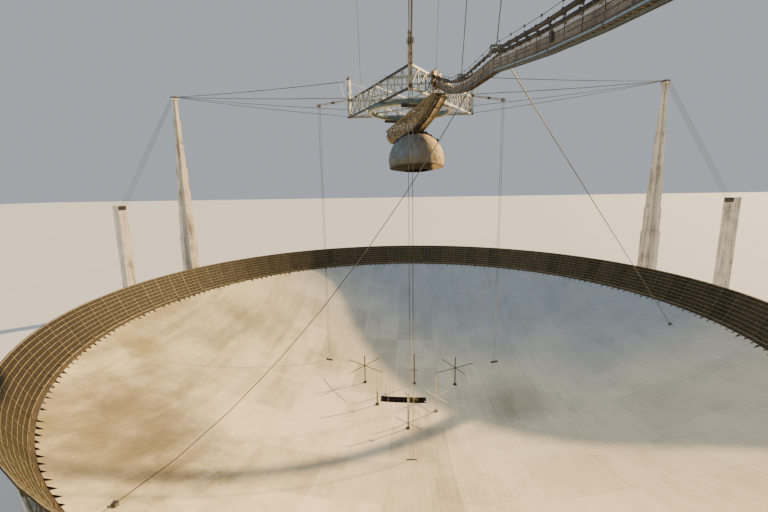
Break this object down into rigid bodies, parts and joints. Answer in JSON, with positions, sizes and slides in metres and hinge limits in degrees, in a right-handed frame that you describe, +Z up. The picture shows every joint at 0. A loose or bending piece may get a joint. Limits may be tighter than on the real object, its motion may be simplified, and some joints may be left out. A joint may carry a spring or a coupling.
{
  "type": "radio telescope dish, 1:20 scale model",
  "caption": "Giant fixed spherical radio telescope at 1:20: bowl reflector with ground screen, towers, cable-hung platform, turning arm, receiver dome and footbridge.",
  "frame": {"origin": "on the floor, in the middle of the underside of the centre footing, under the lowest point of the bowl", "axes": "+Z up; -Y towards the near tower; the other two towers lie at 30 and 150 degrees from +X; millimetres at 1:20"},
  "size_m": [29.818, 25.8232, 9.8153],
  "materials": {
    "concrete": "cast concrete, weathered",
    "bowl_panels": "perforated panels, stained",
    "screen_mesh": "woven mesh, weathered",
    "mast_paint": "matt, stained at the foot",
    "cables": "galvanised wire rope",
    "platform_steel": "matt grey-green paint",
    "arm_steel": "weathered paint with rust",
    "track_steel": "worn rail",
    "dome_skin": "riveted panels with rust stains"
  },
  "bodies": {
    "structure": {"centre_footing": "concrete", "rim_frame_1": "concrete", "rim_frame_2": "concrete", "rim_frame_3": "concrete", "rim_frame_4": "concrete", "tower_near": "concrete", "tower_left": "concrete", "tower_right": "concrete", "anchor_pier_near": "concrete", "anchor_pier_left": "concrete", "anchor_pier_right": "concrete", "catwalk_pier": "concrete", "reflector_centre": "bowl_panels", "reflector_sector_1": "bowl_panels", "reflector_sector_2": "bowl_panels", "reflector_sector_3": "bowl_panels", "reflector_sector_4": "bowl_panels", "reflector_sector_5": "bowl_panels", "reflector_sector_6": "bowl_panels", "ground_screen_1": "screen_mesh", "ground_screen_2": "screen_mesh", "ground_screen_3": "screen_mesh", "ground_screen_4": "screen_mesh", "dipole_mast_1": "mast_paint", "dipole_mast_2": "mast_paint", "dipole_mast_3": "mast_paint", "dipole_mast_4": "mast_paint", "dipole_mast_5": "mast_paint", "dipole_mast_6": "mast_paint", "main_cables_near": "cables", "main_cables_left": "cables", "main_cables_right": "cables", "backstay_near": "cables", "backstay_left": "cables", "backstay_right": "cables", "tie_down_near": "cables", "tie_down_left": "cables", "tie_down_right": "cables", "catwalk_hangers": "cables", "wind_guy_left": "cables", "wind_guy_right": "cables", "platform_truss_near_left": "platform_steel", "platform_truss_near_right": "platform_steel", "platform_truss_far": "platform_steel", "platform_floor": "platform_steel", "platform_roof": "platform_steel", "ring_girder": "platform_steel", "outrigger_near": "platform_steel", "outrigger_left": "platform_steel", "outrigger_right": "platform_steel", "catwalk_trough": "platform_steel", "catwalk_cables": "arm_steel"},
    "azimuth_arm": {"arm_truss_left": "arm_steel", "arm_truss_right": "arm_steel", "arm_ring_trolleys": "arm_steel", "arm_track": "track_steel"},
    "receiver_dome": {"receiver_dome": "dome_skin", "dome_carriage": "arm_steel"},
    "carriage_house": {"carriage_house": "arm_steel"}
  },
  "joints": [
    {"name": "arm_azimuth", "type": "hinge", "parent": "structure", "child": "azimuth_arm", "pos_m": [0, 0, 7.85], "axis": [0, 0, 1], "range_deg": [-270, 270]},
    {"name": "dome_zenith", "type": "hinge", "parent": "azimuth_arm", "child": "receiver_dome", "pos_m": [0, 0, 13.56], "axis": [-0.9681, -0.2504, 0], "range_deg": [-4.8, 14.9]},
    {"name": "house_zenith", "type": "hinge", "parent": "azimuth_arm", "child": "carriage_house", "pos_m": [0, 0, 13.56], "axis": [-0.9681, -0.2504, 0], "range_deg": [-0.8, 9.5]}
  ]
}
